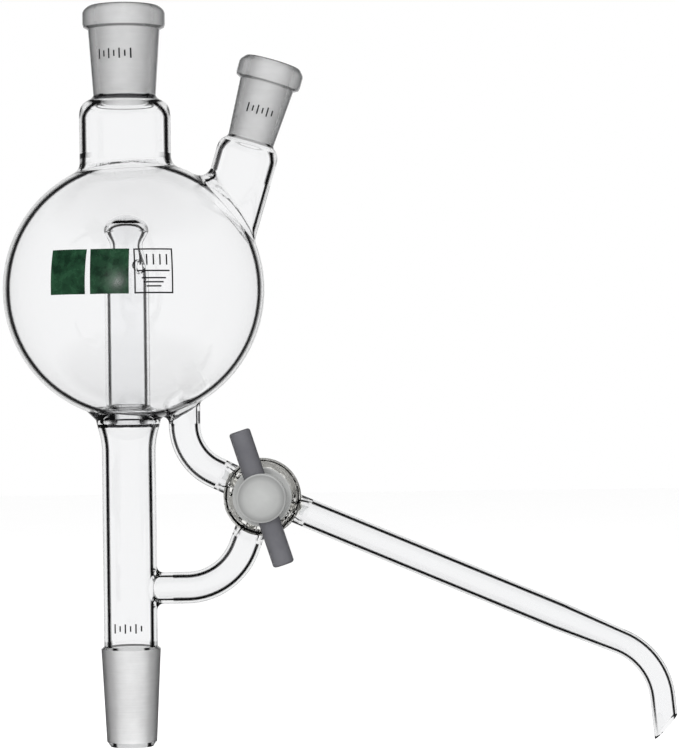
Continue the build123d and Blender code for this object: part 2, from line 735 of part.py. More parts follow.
NODES = {
    "bottom_cone": bottom_cone,
    "stem_tube": stem_tube,
    "ring_seal": ring_seal,
    "bulb": bulb,
    "vapour_tube": vapour_tube,
    "top_neck": top_neck,
    "top_socket": top_socket,
    "side_neck": side_neck,
    "side_socket": side_socket,
    "drain_tube": drain_tube,
    "return_tube": return_tube,
    "delivery_tube": delivery_tube,
    "stopcock_barrel": stopcock_barrel,
    "key_plug": key_plug,
    "handle_rod": handle_rod,
    "friction_washer": friction_washer,
    "tension_ring": tension_ring,
    "retaining_nut": retaining_nut,
    "green_panel_left": lambda: green_panel(PANEL_AZIMUTHS[0]),
    "green_panel_right": lambda: green_panel(PANEL_AZIMUTHS[1]),
    "capacity_frame": capacity_frame,
    "top_joint_mark": top_joint_mark,
    "side_joint_mark": side_joint_mark,
    "stem_joint_mark": stem_joint_mark,
}

os.makedirs("parts", exist_ok=True)
for name, make in NODES.items():
    export_step(make(), f"parts/{name}.step")
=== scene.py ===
"""Looks for a distilling receiver head: clear and ground glass, stopcock, fired marks.

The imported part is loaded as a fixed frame. Each glass piece is skinned again from its
node's own mesh, with the faces where two pieces are fused left out, and every surface is
given a finish. Lengths are in metres: +Z runs up the stem and -Y faces the front.
"""

from __future__ import annotations

import json
import logging
import math
from dataclasses import dataclass, field
from enum import Enum

import bpy
import numpy as np
from mathutils import Matrix, Vector
from mathutils.bvhtree import BVHTree

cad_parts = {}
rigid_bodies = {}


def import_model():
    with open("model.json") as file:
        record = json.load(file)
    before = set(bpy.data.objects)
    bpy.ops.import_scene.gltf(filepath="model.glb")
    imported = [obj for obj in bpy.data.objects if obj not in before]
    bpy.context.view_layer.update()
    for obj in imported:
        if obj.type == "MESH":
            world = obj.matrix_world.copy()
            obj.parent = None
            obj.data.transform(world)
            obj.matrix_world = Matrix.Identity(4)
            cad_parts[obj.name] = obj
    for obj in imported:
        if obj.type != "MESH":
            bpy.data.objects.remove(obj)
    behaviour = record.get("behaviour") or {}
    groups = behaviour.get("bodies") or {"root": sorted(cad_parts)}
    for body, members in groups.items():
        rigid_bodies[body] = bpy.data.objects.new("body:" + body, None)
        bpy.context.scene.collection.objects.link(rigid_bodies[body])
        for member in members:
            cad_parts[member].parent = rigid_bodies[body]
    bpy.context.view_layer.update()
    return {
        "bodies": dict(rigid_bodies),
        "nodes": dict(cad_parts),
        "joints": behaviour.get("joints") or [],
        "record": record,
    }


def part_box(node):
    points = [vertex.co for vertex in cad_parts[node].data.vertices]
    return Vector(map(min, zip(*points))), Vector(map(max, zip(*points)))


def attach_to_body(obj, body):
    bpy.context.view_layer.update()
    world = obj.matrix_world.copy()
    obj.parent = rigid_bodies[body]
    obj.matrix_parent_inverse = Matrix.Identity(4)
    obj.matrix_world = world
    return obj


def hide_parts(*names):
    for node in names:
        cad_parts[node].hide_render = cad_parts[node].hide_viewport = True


LOG = logging.getLogger("receiver_head")
MM = 0.001
GLASS_IOR = 1.473
# Near-black painted on glass edge lines and rings: painted shade for dark surroundings seen through the
# wall
SHADE_BLACK = (0.004, 0.004, 0.0045)
CLEAR = (0.972, 0.974, 0.978)
BARREL_CENTRE = (0.0435, 0.0, 0.0808)
BARREL_REACH = 12.6 * MM      # how far the barrel's own glass reaches from its axis
HUB_R = 7.75 * MM
HUB_FRONT = 28.2 * MM         # where the key hub's rounded front begins, towards -Y

Node = bpy.types.Node
Socket = bpy.types.NodeSocket
Colour = tuple[float, float, float]


class Side(Enum):
    """Which surface of a glass wall a face belongs to."""

    OUTSIDE = 0
    BORE = 1
    GROUND = 2
    STUB = 3


# --------------------------------------------------------------------------- shader helpers
class Graph:
    """Thin wrapper that adds and joins nodes in one node tree."""

    def __init__(self, tree: bpy.types.NodeTree) -> None:
        """Keeps the tree.

        Args:
            tree: The node tree that nodes are added to.
        """
        self.tree = tree

    def add(self, kind: str, **settings: object) -> Node:
        """Adds a node and sets its properties.

        Args:
            kind: The node's type name.
            settings: Properties of the node, by name.

        Returns:
            The new node.
        """
        node = self.tree.nodes.new(kind)
        for name, value in settings.items():
            setattr(node, name, value)
        return node

    def link(self, source: Socket, target: Socket) -> None:
        """Joins an output to an input."""
        self.tree.links.new(source, target)

    def feed(self, target: Socket, value: object) -> None:
        """Sets an input to a plain value, or joins it to an output.

        Args:
            target: The input.
            value: A number, a tuple or an output socket.
        """
        if isinstance(value, Socket):
            self.link(value, target)
        else:
            target.default_value = value

    def math(self, operation: str, a: object, b: object = 0.0, clamp: bool = False) -> Socket:
        """Adds a Math node.

        Args:
            operation: The node's operation.
            a: First value.
            b: Second value.
            clamp: True to keep the result between 0 and 1.

        Returns:
            The node's output.
        """
        node = self.add("ShaderNodeMath", operation=operation, use_clamp=clamp)
        self.feed(node.inputs[0], a)
        self.feed(node.inputs[1], b)
        return node.outputs[0]

    def ramp(self, value: Socket, stops: list[tuple[float, float]]) -> Socket:
        """Maps a value through a grey ramp.

        Args:
            value: The output that is mapped.
            stops: Positions and grey levels, in order.

        Returns:
            The ramp's colour output.
        """
        node = self.add("ShaderNodeValToRGB")
        elements = node.color_ramp.elements
        while len(elements) < len(stops):
            elements.new(0.5)
        for element, (place, level) in zip(elements, stops):
            element.position = place
            element.color = (level, level, level, 1.0)
        self.link(value, node.inputs["Fac"])
        return node.outputs["Color"]

    def window(self, value: Socket, low: float, high: float, soft: float) -> Socket:
        """Masks a range of a value, with soft ends.

        Args:
            value: The output that is masked.
            low: Start of the range.
            high: End of the range.
            soft: Width over which each end fades.

        Returns:
            1 inside the range and 0 outside it.
        """
        rise = self.math("DIVIDE", self.math("SUBTRACT", value, low), soft, clamp=True)
        fall = self.math("DIVIDE", self.math("SUBTRACT", high, value), soft, clamp=True)
        return self.math("MULTIPLY", rise, fall)

    def along(self, axis: tuple[float, float, float]) -> Socket:
        """Distance from the frame's origin along an axis, in metres.

        Args:
            axis: Unit vector.

        Returns:
            The distance's output.
        """
        place = self.add("ShaderNodeTexCoord").outputs["Object"]
        dot = self.add("ShaderNodeVectorMath", operation="DOT_PRODUCT")
        self.link(place, dot.inputs[0])
        dot.inputs[1].default_value = axis
        return dot.outputs["Value"]

    def from_barrel(self) -> Socket:
        """Distance from the stopcock barrel's axis, in metres.

        Returns:
            The distance's output.
        """
        place = self.add("ShaderNodeTexCoord").outputs["Object"]
        offset = self.add("ShaderNodeVectorMath", operation="SUBTRACT")
        self.link(place, offset.inputs[0])
        offset.inputs[1].default_value = BARREL_CENTRE
        level = self.add("ShaderNodeVectorMath", operation="MULTIPLY")
        self.link(offset.outputs[0], level.inputs[0])
        level.inputs[1].default_value = (1.0, 0.0, 1.0)
        length = self.add("ShaderNodeVectorMath", operation="LENGTH")
        self.link(level.outputs[0], length.inputs[0])
        return length.outputs["Value"]

    def in_barrel(self) -> Socket:
        """Masks the barrel's own glass, and not its arms."""
        return self.window(self.from_barrel(), 0.0, BARREL_REACH, 0.6 * MM)

    def let_lamps_through(self, shader: Socket, output: Node, tint: float) -> None:
        """Makes a surface clear to shadow rays and joins the material's output.

        Args:
            shader: The surface's shader.
            output: The material's output node.
            tint: Share of the light that passes.
        """
        path = self.add("ShaderNodeLightPath")
        clear = self.add("ShaderNodeBsdfTransparent")
        clear.inputs["Color"].default_value = (tint, tint, tint, 1.0)
        mix = self.add("ShaderNodeMixShader")
        self.link(path.outputs["Is Shadow Ray"], mix.inputs[0])
        self.link(shader, mix.inputs[1])
        self.link(clear.outputs[0], mix.inputs[2])
        self.link(mix.outputs[0], output.inputs["Surface"])

    def blend(self, share: object, a: object, b: object, mode: str = "MIX") -> Socket:
        """Mixes two colours.

        Args:
            share: How much of b, from 0 to 1.
            a: First colour.
            b: Second colour.
            mode: Blending mode.

        Returns:
            The mixed colour.
        """
        node = self.add("ShaderNodeMix", data_type="RGBA", blend_type=mode)
        self.feed(node.inputs["Factor"], share)
        self.feed(node.inputs[6], a)
        self.feed(node.inputs[7], b)
        return node.outputs[2]

    def noise(self, place: Socket, scale: float, detail: float = 2.0, rough: float = 0.5) -> Socket:
        """Adds a noise texture.

        Args:
            place: Coordinates.
            scale: Cells for each metre.
            detail: Octaves.
            rough: Share kept from each octave to the next.

        Returns:
            The noise's factor.
        """
        node = self.add("ShaderNodeTexNoise")
        self.link(place, node.inputs["Vector"])
        node.inputs["Scale"].default_value = scale
        node.inputs["Detail"].default_value = detail
        node.inputs["Roughness"].default_value = rough
        return node.outputs["Fac"]


def rgba(colour: Colour) -> tuple[float, float, float, float]:
    """Adds full alpha to a colour."""
    return (*colour, 1.0)


class GroupKit:
    """Shared node groups, each built once."""

    def __init__(self) -> None:
        """Starts with no group made."""
        self._made: dict[str, bpy.types.NodeTree] = {}

    def _start(self, name: str, inputs: dict[str, tuple[str, object]], outputs: dict[str, str]
               ) -> tuple[Graph, Node, Node]:
        """Makes a group's tree, interface and end nodes.

        Args:
            name: The group's name.
            inputs: Socket type and starting value for each input name.
            outputs: Socket type for each output name.

        Returns:
            The graph, the node that gives the inputs and the node that takes the outputs.
        """
        tree = bpy.data.node_groups.new(name, "ShaderNodeTree")
        for label, (kind, value) in inputs.items():
            socket = tree.interface.new_socket(label, in_out="INPUT", socket_type=kind)
            socket.default_value = value
        for label, kind in outputs.items():
            tree.interface.new_socket(label, in_out="OUTPUT", socket_type=kind)
        graph = Graph(tree)
        self._made[name] = tree
        return graph, graph.add("NodeGroupInput"), graph.add("NodeGroupOutput")

    def blown_ripple(self) -> bpy.types.NodeTree:
        """Normal of hand-blown glass: slow waves along the wall.

        Returns:
            A group with Scale and Strength in, and Normal out.
        """
        if "Blown ripple" in self._made:
            return self._made["Blown ripple"]
        floats = "NodeSocketFloat"
        graph, given, taken = self._start(
            "Blown ripple",
            {"Scale": (floats, 60.0), "Strength": (floats, 0.1)},
            {"Normal": "NodeSocketVector"},
        )
        place = graph.add("ShaderNodeTexCoord").outputs["Object"]
        noise = graph.add("ShaderNodeTexNoise")
        graph.link(place, noise.inputs["Vector"])
        graph.link(given.outputs["Scale"], noise.inputs["Scale"])
        noise.inputs["Detail"].default_value = 1.0
        noise.inputs["Roughness"].default_value = 0.4
        bump = graph.add("ShaderNodeBump")
        bump.inputs["Distance"].default_value = 0.0005
        graph.link(given.outputs["Strength"], bump.inputs["Strength"])
        graph.link(noise.outputs["Fac"], bump.inputs["Height"])
        graph.link(bump.outputs["Normal"], taken.inputs["Normal"])
        return graph.tree

    def ground_grain(self) -> bpy.types.NodeTree:
        """Fine grain of a ground joint, with faint turning marks.

        Returns:
            A group with Grain in, and Shade and Height out.
        """
        if "Ground grain" in self._made:
            return self._made["Ground grain"]
        floats = "NodeSocketFloat"
        graph, given, taken = self._start(
            "Ground grain", {"Grain": (floats, 5000.0)}, {"Shade": floats, "Height": floats}
        )
        place = graph.add("ShaderNodeTexCoord").outputs["Object"]
        fine = graph.add("ShaderNodeTexNoise")
        graph.link(place, fine.inputs["Vector"])
        graph.link(given.outputs["Grain"], fine.inputs["Scale"])
        fine.inputs["Detail"].default_value = 2.0
        stretched = graph.add("ShaderNodeMapping")
        stretched.inputs["Scale"].default_value = (90.0, 90.0, 2600.0)
        graph.link(place, stretched.inputs["Vector"])
        turning = graph.noise(stretched.outputs[0], 1.0, 1.0)
        cloud = graph.noise(place, 190.0, 3.0, 0.6)
        shade = graph.math("MULTIPLY_ADD", cloud, 0.55)
        shade.node.inputs[2].default_value = 0.0
        lines = graph.math("MULTIPLY_ADD", turning, 0.25)
        graph.link(shade, lines.node.inputs[2])
        speck = graph.math("MULTIPLY_ADD", fine.outputs["Fac"], 0.2)
        graph.link(lines, speck.node.inputs[2])
        graph.link(speck, taken.inputs["Shade"])
        height = graph.math("MULTIPLY_ADD", turning, 0.6)
        graph.link(fine.outputs["Fac"], height.node.inputs[2])
        graph.link(height, taken.inputs["Height"])
        return graph.tree

    def moulded_grain(self) -> bpy.types.NodeTree:
        """Soft clouding and fine texture of moulded or turned plastic.

        Returns:
            A group with Scale in, and Shade and Height out.
        """
        if "Moulded grain" in self._made:
            return self._made["Moulded grain"]
        floats = "NodeSocketFloat"
        graph, given, taken = self._start(
            "Moulded grain", {"Scale": (floats, 900.0)}, {"Shade": floats, "Height": floats}
        )
        place = graph.add("ShaderNodeTexCoord").outputs["Object"]
        cloud = graph.noise(place, 120.0, 3.0, 0.55)
        fine = graph.add("ShaderNodeTexNoise")
        graph.link(place, fine.inputs["Vector"])
        graph.link(given.outputs["Scale"], fine.inputs["Scale"])
        fine.inputs["Detail"].default_value = 3.0
        both = graph.math("MULTIPLY_ADD", fine.outputs["Fac"], 0.35)
        graph.link(cloud, both.node.inputs[2])
        graph.link(both, taken.inputs["Shade"])
        graph.link(fine.outputs["Fac"], taken.inputs["Height"])
        return graph.tree


GROUPS = GroupKit()


def new_material(name: str) -> tuple[bpy.types.Material, Graph, Node]:
    """Makes an empty node material.

    Args:
        name: The material's name.

    Returns:
        The material, its graph and its output node.
    """
    material = bpy.data.materials.new(name)
    material.use_nodes = True
    material.node_tree.nodes.clear()
    graph = Graph(material.node_tree)
    return material, graph, graph.add("ShaderNodeOutputMaterial")


# ------------------------------------------------------------------------------- finishes
@dataclass(frozen=True)
class ShadeBand:
    """Painted shade: a dark ring like those thick or folded glass shows, in mm along the part's axis.

    A ring round the barrel is measured outward from the barrel's axis instead.
    """

    low: float
    high: float
    depth: float = 0.9
    near_only: bool = True
    limb_only: bool = False
    round_barrel: bool = False


@dataclass(frozen=True)
class WallLines:
    """How the painted-shade edge lines of a clear wall read: bore radius and line widths, in metres."""

    bore: float
    outer: float
    inward: float
    outward: float
    edge: float

    def inside_facing(self, shift: float) -> float:
        """Facing value on the bore, seen through the wall, at a shift from its edge.

        Args:
            shift: Distance outward from the bore's edge.

        Returns:
            One less the cosine at the bore's surface.
        """
        sine = min(0.999, (1 + shift / self.bore) / GLASS_IOR)
        return 1 - math.sqrt(1 - sine * sine)

    def open_facing(self, radius: float, shift: float) -> float:
        """Facing value on a surface met from air, at a distance inside its edge.

        Args:
            radius: The surface's radius.
            shift: Distance inward from its edge.

        Returns:
            One less the cosine there.
        """
        sine = max(0.0, 1 - shift / radius)
        return 1 - math.sqrt(1 - sine * sine)


@dataclass(frozen=True)
class ClearGlass:
    """Clear borosilicate glass with the dark edges it shows on a bright ground painted on as painted
    shade.
    """

    name: str
    lines: WallLines
    tint: Colour
    edge_shade: Colour
    ripple_scale: float
    ripple: float
    axis: tuple[float, float, float]
    shade_bands: tuple[ShadeBand, ...]
    in_barrel: bool = False

    def _glass(self, graph: Graph, colour: object) -> Node:
        """Adds the glass shader itself.

        Args:
            graph: The material's graph.
            colour: Plain colour or an output that gives it.

        Returns:
            The shader node.
        """
        shader = graph.add("ShaderNodeBsdfPrincipled")
        graph.feed(shader.inputs["Base Color"], colour)
        shader.inputs["Roughness"].default_value = 0.0
        shader.inputs["IOR"].default_value = GLASS_IOR
        shader.inputs["Transmission Weight"].default_value = 1.0
        ripple = graph.add("ShaderNodeGroup", node_tree=GROUPS.blown_ripple())
        ripple.inputs["Scale"].default_value = self.ripple_scale
        ripple.inputs["Strength"].default_value = self.ripple
        if self.in_barrel:
            strength = graph.math("MULTIPLY", graph.in_barrel(), self.ripple)
            graph.link(strength, ripple.inputs["Strength"])
        graph.link(ripple.outputs["Normal"], shader.inputs["Normal"])
        return shader

    def _body(self, graph: Graph) -> object:
        """Colour of the glass away from its edges.

        Args:
            graph: The material's graph.

        Returns:
            A plain colour, or an output that fades to clear outside the barrel.
        """
        if not self.in_barrel:
            return rgba(self.tint)
        return graph.blend(graph.in_barrel(), rgba(CLEAR), rgba(self.tint))

    def outside(self) -> bpy.types.Material:
        """Makes the material of the wall's outside.

        Returns:
            The material.
        """
        material, graph, output = new_material(f"{self.name}_outside")
        facing = graph.add("ShaderNodeLayerWeight")
        facing.inputs["Blend"].default_value = 0.5
        # Painted shade: the colour turns to the dark edge colour towards the grazing edge of the
        # outside
        start = self.lines.open_facing(self.lines.outer, self.lines.edge * 1.6)
        full = self.lines.open_facing(self.lines.outer, self.lines.edge * 0.3)
        painted_edge_mask = graph.ramp(facing.outputs["Facing"], [(start, 0.0), (full, 1.0)])
        colour = graph.blend(painted_edge_mask, self._body(graph), rgba(self.edge_shade))
        # Painted shade: the dark rings are painted near-black over the glass colour
        painted_shade = self._shade_rings(graph, facing.outputs["Facing"])
        if painted_shade is not None:
            colour = graph.blend(painted_shade, colour, rgba(SHADE_BLACK))
        graph.let_lamps_through(self._glass(graph, colour).outputs[0], output, 0.97)
        return material

    def _shade_rings(self, graph: Graph, facing: Socket) -> Socket | None:
        """Masks the dark rings painted on the wall as painted shade.

        Args:
            graph: The material's graph.
            facing: How far the surface turns from the eye.

        Returns:
            How dark each place is, or None where the part has no ring.
        """
        if not self.shade_bands:
            return None
        back = graph.add("ShaderNodeNewGeometry").outputs["Backfacing"]
        near = graph.math("SUBTRACT", 1.0, back)
        limb_shade = graph.ramp(facing, [(0.3, 0.0), (0.55, 1.0)])
        total: Socket | None = None
        for band in self.shade_bands:
            place = graph.from_barrel() if band.round_barrel else graph.along(self.axis)
            zone = graph.window(place, band.low * MM, band.high * MM, 0.25 * MM)
            zone = graph.math("MULTIPLY", zone, band.depth)
            if band.near_only:
                zone = graph.math("MULTIPLY", zone, near)
            if band.limb_only:
                zone = graph.math("MULTIPLY", zone, limb_shade)
            total = zone if total is None else graph.math("MAXIMUM", total, zone)
        return total

    def bore(self, name: str, lines: WallLines) -> bpy.types.Material:
        """Makes the material of the wall's bore, whose edge gets a painted dark line: painted shade.

        Args:
            name: What the material's name ends with.
            lines: The line widths.

        Returns:
            The material.
        """
        material, graph, output = new_material(f"{self.name}_{name}")
        facing = graph.add("ShaderNodeLayerWeight")
        facing.inputs["Blend"].default_value = 0.5
        side = graph.add("ShaderNodeNewGeometry").outputs["Backfacing"]
        near = graph.ramp(
            facing.outputs["Facing"],
            [
                (lines.inside_facing(-1.4 * lines.inward), 0.0),
                (lines.inside_facing(-0.5 * lines.inward), 1.0),
                (lines.inside_facing(0.5 * lines.outward), 1.0),
                (lines.inside_facing(1.4 * lines.outward), 0.0),
            ],
        )
        far = graph.ramp(
            facing.outputs["Facing"],
            [
                (lines.open_facing(lines.bore, 1.4 * lines.inward), 0.0),
                (lines.open_facing(lines.bore, 0.5 * lines.inward), 1.0),
            ],
        )
        line = graph.blend(side, far, near)
        glass = self._glass(graph, self._body(graph))
        # Painted shade: a black matt shader mixed in along the bore's edge line
        painted_shade = graph.add("ShaderNodeBsdfPrincipled")
        painted_shade.inputs["Base Color"].default_value = rgba(SHADE_BLACK)
        painted_shade.inputs["Roughness"].default_value = 1.0
        painted_shade.inputs["Specular IOR Level"].default_value = 0.0
        mix = graph.add("ShaderNodeMixShader")
        graph.link(line, mix.inputs[0])
        graph.link(glass.outputs[0], mix.inputs[1])
        graph.link(painted_shade.outputs[0], mix.inputs[2])
        graph.let_lamps_through(mix.outputs[0], output, 0.97)
        return material


@dataclass(frozen=True)
class GroundGlass:
    """Ground joint surface: grey, lighter where it is seen square on, with painted shade towards its
    grazing edges.
    """

    name: str = "ground_glass"
    middle: Colour = (0.97, 0.97, 0.97)
    limb_shade: Colour = (0.09, 0.09, 0.095)
    roughness: float = 0.55

    def material(self) -> bpy.types.Material:
        """Makes the material.

        Returns:
            The material.
        """
        material, graph, output = new_material(self.name)
        grain = graph.add("ShaderNodeGroup", node_tree=GROUPS.ground_grain())
        facing = graph.add("ShaderNodeLayerWeight")
        facing.inputs["Blend"].default_value = 0.5
        # Painted shade: darker towards the grazing edges
        turn = graph.ramp(facing.outputs["Facing"], [(0.0, 0.0), (0.2, 0.22), (0.55, 0.8), (0.85, 1.0)])
        colour = graph.blend(turn, rgba(self.middle), rgba(self.limb_shade))
        shade = graph.ramp(grain.outputs["Shade"], [(0.25, 0.72), (0.75, 1.0)])
        colour = graph.blend(1.0, colour, shade, "MULTIPLY")
        shader = graph.add("ShaderNodeBsdfPrincipled")
        graph.link(colour, shader.inputs["Base Color"])
        shader.inputs["Roughness"].default_value = self.roughness
        shader.inputs["IOR"].default_value = GLASS_IOR
        shader.inputs["Transmission Weight"].default_value = 0.7
        bump = graph.add("ShaderNodeBump")
        bump.inputs["Strength"].default_value = 0.35
        bump.inputs["Distance"].default_value = 0.00005
        graph.link(grain.outputs["Height"], bump.inputs["Height"])
        graph.link(bump.outputs["Normal"], shader.inputs["Normal"])
        graph.let_lamps_through(shader.outputs[0], output, 0.8)
        return material


@dataclass(frozen=True)
class Plastic:
    """Turned or moulded polymer with soft clouding, a fine texture and painted shade towards its
    grazing edges and over a domed hub.
    """

    name: str
    light: Colour
    dark: Colour
    roughness: float = 0.5
    grain: float = 900.0
    relief: float = 0.15
    limb_shade: float = 0.0
    dome_shade: bool = False

    def material(self) -> bpy.types.Material:
        """Makes the material.

        Returns:
            The material.
        """
        material, graph, output = new_material(self.name)
        grain = graph.add("ShaderNodeGroup", node_tree=GROUPS.moulded_grain())
        grain.inputs["Scale"].default_value = self.grain
        shade = graph.ramp(grain.outputs["Shade"], [(0.4, 0.0), (0.95, 1.0)])
        colour = graph.blend(shade, rgba(self.dark), rgba(self.light))
        facing = graph.add("ShaderNodeLayerWeight")
        facing.inputs["Blend"].default_value = 0.5
        # Painted shade: darker towards the grazing edges, and towards the rim of the key hub's rounded
        # front
        painted_limb_share = graph.ramp(facing.outputs["Facing"], [(0.0, 0.0), (0.3, 0.35), (0.8, 1.0)])
        painted_limb_share = graph.math("MULTIPLY", painted_limb_share, self.limb_shade)
        if self.dome_shade:
            front = graph.window(graph.along((0.0, -1.0, 0.0)), HUB_FRONT, 40 * MM, 0.4 * MM)
            reach = graph.math("DIVIDE", graph.from_barrel(), HUB_R, clamp=True)
            edge = graph.ramp(reach, [(0.2, 0.0), (0.7, 0.22), (0.97, 0.75)])
            painted_limb_share = graph.math("MAXIMUM", painted_limb_share, graph.math("MULTIPLY", edge, front))
        limb_shade_colour = tuple(0.35 * part for part in self.dark)
        colour = graph.blend(painted_limb_share, colour, rgba(limb_shade_colour))
        shader = graph.add("ShaderNodeBsdfPrincipled")
        graph.link(colour, shader.inputs["Base Color"])
        rough = graph.ramp(
            grain.outputs["Shade"], [(0.3, self.roughness * 0.9), (1.0, self.roughness * 1.1)]
        )
        graph.link(rough, shader.inputs["Roughness"])
        bump = graph.add("ShaderNodeBump")
        bump.inputs["Strength"].default_value = self.relief
        bump.inputs["Distance"].default_value = 0.0001
        graph.link(grain.outputs["Height"], bump.inputs["Height"])
        graph.link(bump.outputs["Normal"], shader.inputs["Normal"])
        graph.link(shader.outputs[0], output.inputs["Surface"])
        return material


@dataclass(frozen=True)
class Enamel:
    """Fired ceramic colour on the glass."""

    name: str
    dark: Colour
    light: Colour
    roughness: float = 0.2

    def material(self) -> bpy.types.Material:
        """Makes the material.

        Returns:
            The material.
        """
        material, graph, output = new_material(self.name)
        place = graph.add("ShaderNodeTexCoord").outputs["Object"]
        cloud = graph.noise(place, 260.0, 3.0, 0.6)
        share = graph.ramp(cloud, [(0.35, 0.0), (0.7, 1.0)])
        colour = graph.blend(share, rgba(self.dark), rgba(self.light))
        shader = graph.add("ShaderNodeBsdfPrincipled")
        graph.link(colour, shader.inputs["Base Color"])
        rough = graph.ramp(cloud, [(0.2, self.roughness), (0.8, self.roughness + 0.12)])
        graph.link(rough, shader.inputs["Roughness"])
        bump = graph.add("ShaderNodeBump")
        bump.inputs["Strength"].default_value = 0.12
        bump.inputs["Distance"].default_value = 0.0002
        graph.link(cloud, bump.inputs["Height"])
        graph.link(bump.outputs["Normal"], shader.inputs["Normal"])
        graph.link(shader.outputs[0], output.inputs["Surface"])
        return material


@dataclass(frozen=True)
class FloorFinish:
    """Plain pale matt floor."""

    name: str = "pale_floor"
    colour: Colour = (0.99, 0.99, 0.99)

    def material(self) -> bpy.types.Material:
        """Makes the material, near-white like the bright surroundings.

        Returns:
            The material.
        """
        material, graph, output = new_material(self.name)
        shader = graph.add("ShaderNodeBsdfPrincipled")
        place = graph.add("ShaderNodeTexCoord").outputs["Object"]
        tone = graph.ramp(graph.noise(place, 6.0, 2.0), [(0.0, 0.99), (1.0, 1.0)])
        colour = graph.blend(1.0, rgba(self.colour), tone, "MULTIPLY")
        graph.link(colour, shader.inputs["Base Color"])
        shader.inputs["Roughness"].default_value = 0.9
        shader.inputs["Specular IOR Level"].default_value = 0.0
        graph.link(shader.outputs[0], output.inputs["Surface"])
        return material


# ---------------------------------------------------------------------------- glass pieces
@dataclass(frozen=True)
class GlassPart:
    """One glass node: its wall, and how wide its bore is."""

    node: str
    outer: float
    bore: float
    inward: float = 0.75
    outward: float = 0.55
    edge: float = 0.25
    stub: float = 0.0
    straight: bool = False
    in_barrel: bool = False
    slot: str = "clear_glass"
    tint: Colour = CLEAR
    # Dark colour painted towards the grazing edge of the outside: painted shade
    edge_shade: Colour = (0.72, 0.73, 0.74)
    ripple_scale: float = 70.0
    ripple: float = 0.1
    axis: tuple[float, float, float] = (0.0, 0.0, 1.0)
    shade_bands: tuple[ShadeBand, ...] = ()

    def lines(self, bore: float) -> WallLines:
        """Line widths of this wall, round a bore of a given radius in mm."""
        return WallLines(
            bore * MM, self.outer * MM, self.inward * MM, self.outward * MM, self.edge * MM
        )

    def finish(self) -> ClearGlass:
        """Look of this part's clear surfaces."""
        return ClearGlass(
            f"glass_{self.node}", self.lines(self.bore), self.tint, self.edge_shade,
            self.ripple_scale, self.ripple, self.axis, self.shade_bands, self.in_barrel,
        )


@dataclass
class GlassSkin:
    """A glass node's mesh as arrays, ready to be cut and built again."""

    points: np.ndarray
    faces: np.ndarray
    normals: np.ndarray
    centres: np.ndarray = field(init=False)
    flats: np.ndarray = field(init=False)

    def __post_init__(self) -> None:
        """Works out each triangle's centre and flat normal."""
        corners = self.points[self.faces]
        self.centres = corners.mean(axis=1)
        cross = np.cross(corners[:, 1] - corners[:, 0], corners[:, 2] - corners[:, 0])
        length = np.linalg.norm(cross, axis=1, keepdims=True)
        self.flats = cross / np.maximum(length, 1e-20)

    @classmethod
    def read(cls, source: bpy.types.Object) -> GlassSkin:
        """Reads a node's mesh.

        Args:
            source: The node's object.

        Returns:
            The skin.
        """
        mesh = source.data
        mesh.calc_loop_triangles()
        points = np.zeros(len(mesh.vertices) * 3)
        mesh.vertices.foreach_get("co", points)
        count = len(mesh.loop_triangles)
        loops = np.zeros(count * 3, int)
        mesh.loop_triangles.foreach_get("loops", loops)
        corner_points = np.zeros(len(mesh.loops), int)
        mesh.loops.foreach_get("vertex_index", corner_points)
        corner_normals = np.zeros(len(mesh.loops) * 3)
        mesh.corner_normals.foreach_get("vector", corner_normals)
        corner_normals = corner_normals.reshape(-1, 3)
        faces = corner_points[loops].reshape(-1, 3)
        return cls(points.reshape(-1, 3), faces, corner_normals[loops].reshape(-1, 3, 3))

    def tree(self) -> BVHTree:
        """Search tree over the skin's triangles."""
        return BVHTree.FromPolygons(self.points.tolist(), self.faces.tolist())

    def rebuild(self, name: str, kept: np.ndarray) -> bpy.types.Object:
        """Makes an object from some of the faces, shaded with the node's own normals.

        Args:
            name: The object's name.
            kept: True for each face that is kept.

        Returns:
            The object, not yet attached to a body.
        """
        faces = self.faces[kept]
        used, packed = np.unique(faces, return_inverse=True)
        mesh = bpy.data.meshes.new(name)
        mesh.from_pydata(self.points[used].tolist(), [], packed.reshape(-1, 3).tolist())
        mesh.polygons.foreach_set("use_smooth", np.ones(len(faces), bool))
        mesh.normals_split_custom_set(self.normals[kept].reshape(-1, 3).tolist())
        mesh.update()
        piece = bpy.data.objects.new(name, mesh)
        bpy.context.scene.collection.objects.link(piece)
        return piece


def attach(piece: bpy.types.Object, node: str) -> None:
    """Puts a new piece in a glass node's place.

    Args:
        piece: The piece.
        node: The node that it stands for.
    """
    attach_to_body(piece, "glass")
    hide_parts(node)


